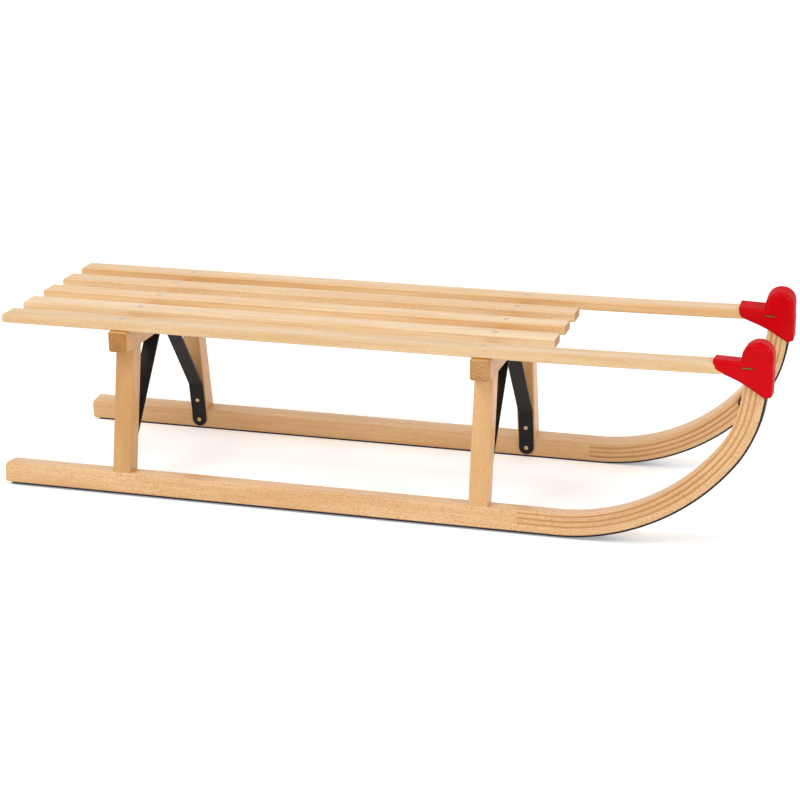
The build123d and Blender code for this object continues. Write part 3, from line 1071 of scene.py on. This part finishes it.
def makeStaples():
    # a wire staple on each side face of a cap, on a dark patch a little wider than itself: painted shade
    # round the staple
    for sideName, side in sides:
        for where, outward in (("Inner", -side), ("Outer", side)):
            face = outward * cap["wide"] / 2
            for kind, grow, proud, material in (("ShadePatch", staple["dent"], staple["shadeProud"], paintedRecessShade),
                                                ("Staple", 0, staple["proud"], agedBrass)):
                half = staple["long"] / 2 + grow
                tall = staple["thick"] / 2 + grow
                low = (staple["x"] - half, face - proud, staple["z"] - tall)
                high = (staple["x"] + half, face + proud, staple["z"] + tall)
                bm = boxShape(low, high)
                share, steps = staple["rounding"]
                roundEdges(bm, edgesAlong(bm, 1), tall * share, steps)
                bmesh.ops.transform(bm, matrix=leanIn(side), verts=bm.verts)
                piece = finishMesh(sideName + where + kind, bm, [material])


pullBar = {
    "slope": 63.0,
    "footX": 478.17 * mm,
    "footY": 130.07 * mm,
    "footZ": 112.10 * mm,
    "screwUp": 7.0 * mm,
    "half": 2.0 * mm,
}


def makePullBarScrews():
    slope = math.radians(pullBar["slope"])
    cant = math.radians(runner["cant"])
    for sideName, side in sides:
        foot = Vector((pullBar["footX"], side * pullBar["footY"], pullBar["footZ"]))
        along = Vector((math.cos(slope), -side * math.tan(cant) * math.sin(slope), math.sin(slope)))
        inward = leaning(side, cant)[1]
        at = foot + along * pullBar["screwUp"] + inward * pullBar["half"]
        name = sideName + "PullBarScrew"
        piece = makeScrewHead(name, screw["braceRadius"], at, inward, zincSteel, screw["barTurn"])


makeSlatScrews()
makeBraceScrews()
makeStaples()
makePullBarScrews()
print("screws and staples made")

# Floor, backdrop and lights
studio = {
    "floorSize": 30.0,
    "floorColour": paint(252, 252, 252),
    "floorLift": 0.28,  # added to what is seen of the floor, so that it is nearly white
    "worldStrength": 0.74,
    "keyPlace": (-1.3, -2.0, 3.5),
    "keyAim": (0, 0, 0.15),
    "keySize": 1.6,
    "keyPower": 52.0,
    "fillPlace": (2.6, -1.3, 1.9),
    "fillAim": (0.2, 0, 0.15),
    "fillSize": 0.65,
    "fillPower": 17.0,
}


def plainSight(tree):
    # 1 for what the camera sees straight, mirrored or through glass; 0 for light on the object
    rays = addNode(tree, "ShaderNodeLightPath")
    seen = addNode(tree, "ShaderNodeMath", operation="MAXIMUM")
    tree.links.new(rays.outputs["Is Camera Ray"], seen.inputs[0])
    tree.links.new(rays.outputs["Is Glossy Ray"], seen.inputs[1])
    clear = addNode(tree, "ShaderNodeMath", operation="MAXIMUM")
    tree.links.new(seen.outputs["Value"], clear.inputs[0])
    tree.links.new(rays.outputs["Is Transmission Ray"], clear.inputs[1])
    return clear.outputs["Value"]


def makeFloor():
    bm = bmesh.new()
    bmesh.ops.create_grid(bm, x_segments=1, y_segments=1, size=studio["floorSize"] / 2)
    mesh = bpy.data.meshes.new("studioFloor")
    bm.to_mesh(mesh)
    bm.free()
    floor = bpy.data.objects.new("studioFloor", mesh)
    bpy.context.scene.collection.objects.link(floor)
    material, tree, shader = newMaterial("studioFloor")
    shader.inputs["Base Color"].default_value = studio["floorColour"]
    shader.inputs["Roughness"].default_value = 1.0
    shader.inputs["Specular IOR Level"].default_value = 0.0
    shader.inputs["Emission Color"].default_value = (1, 1, 1, 1)
    tree.links.new(times(tree, plainSight(tree), studio["floorLift"]), shader.inputs["Emission Strength"])
    mesh.materials.append(material)


def makeLamp(kind):
    data = bpy.data.lights.new(kind + "Lamp", "AREA")
    data.shape = "DISK"
    data.size = studio[kind + "Size"]
    data.energy = studio[kind + "Power"]
    lamp = bpy.data.objects.new(kind + "Lamp", data)
    bpy.context.scene.collection.objects.link(lamp)
    place = studio[kind + "Place"]
    aim = Vector(studio[kind + "Aim"]) - Vector(place)
    lamp.matrix_world = Matrix.Translation(place) @ aim.to_track_quat("-Z", "Y").to_matrix().to_4x4()


def makeWorld():
    world = bpy.data.worlds.new("studioAir")
    world.use_nodes = True
    tree = world.node_tree
    background = tree.nodes["Background"]
    background.inputs["Color"].default_value = (1, 1, 1, 1)
    strength = addNode(tree, "ShaderNodeMapRange")
    tree.links.new(plainSight(tree), strength.inputs["Value"])
    strength.inputs["To Min"].default_value = studio["worldStrength"]
    strength.inputs["To Max"].default_value = 1.0
    tree.links.new(strength.outputs["Result"], background.inputs["Strength"])
    bpy.context.scene.world = world


makeFloor()
makeLamp("key")
makeLamp("fill")
makeWorld()
bpy.context.scene.view_settings.view_transform = "Standard"
print("floor, lamps and world made")
